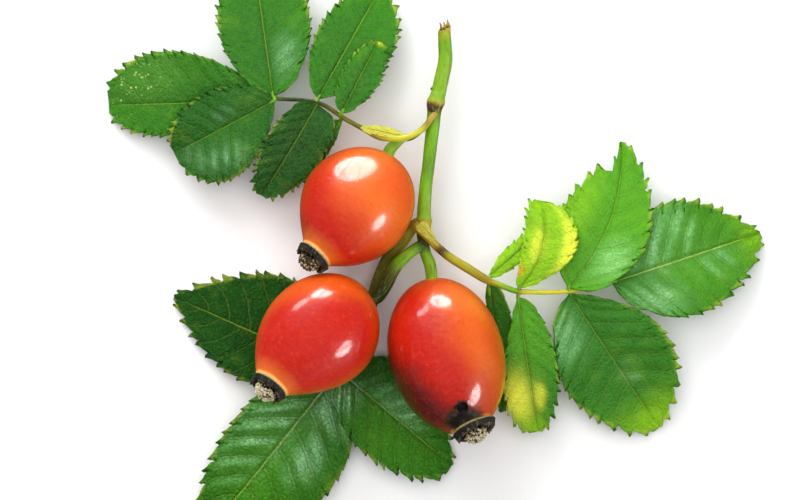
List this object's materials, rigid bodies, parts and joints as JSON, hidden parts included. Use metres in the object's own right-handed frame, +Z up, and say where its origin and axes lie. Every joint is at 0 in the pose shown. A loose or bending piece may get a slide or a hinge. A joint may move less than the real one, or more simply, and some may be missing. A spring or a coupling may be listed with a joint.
{
  "type": "rose hip sprig",
  "caption": "Cut sprig of a wild rose with ripe red-orange hips and toothed compound leaves, lying flat for still-life and autumn scenes.",
  "frame": {"origin": "centre of the bounding box in plan, on the surface that the sprig lies on", "axes": "+X to the right across the leaves and +Y towards the stem's cut end as the sprig lies, +Z up out of the surface"},
  "size_m": [0.1048, 0.0934, 0.0202],
  "materials": {
    "stem": "satin, green bark",
    "flesh": "glossy, waxy skin",
    "crown": "matte, dried",
    "styles": "matte, dried, woolly",
    "leaf": "satin to glossy, net-veined"
  },
  "bodies": {
    "root": {"stem": "stem", "hip_upper": "flesh", "hip_left": "flesh", "hip_right": "flesh", "crown_upper": "crown", "crown_left": "crown", "crown_right": "crown", "styles_upper": "styles", "styles_left": "styles", "styles_right": "styles", "leaf_upper": "leaf", "leaf_right": "leaf", "leaf_lower": "leaf"}
  },
  "joints": []
}
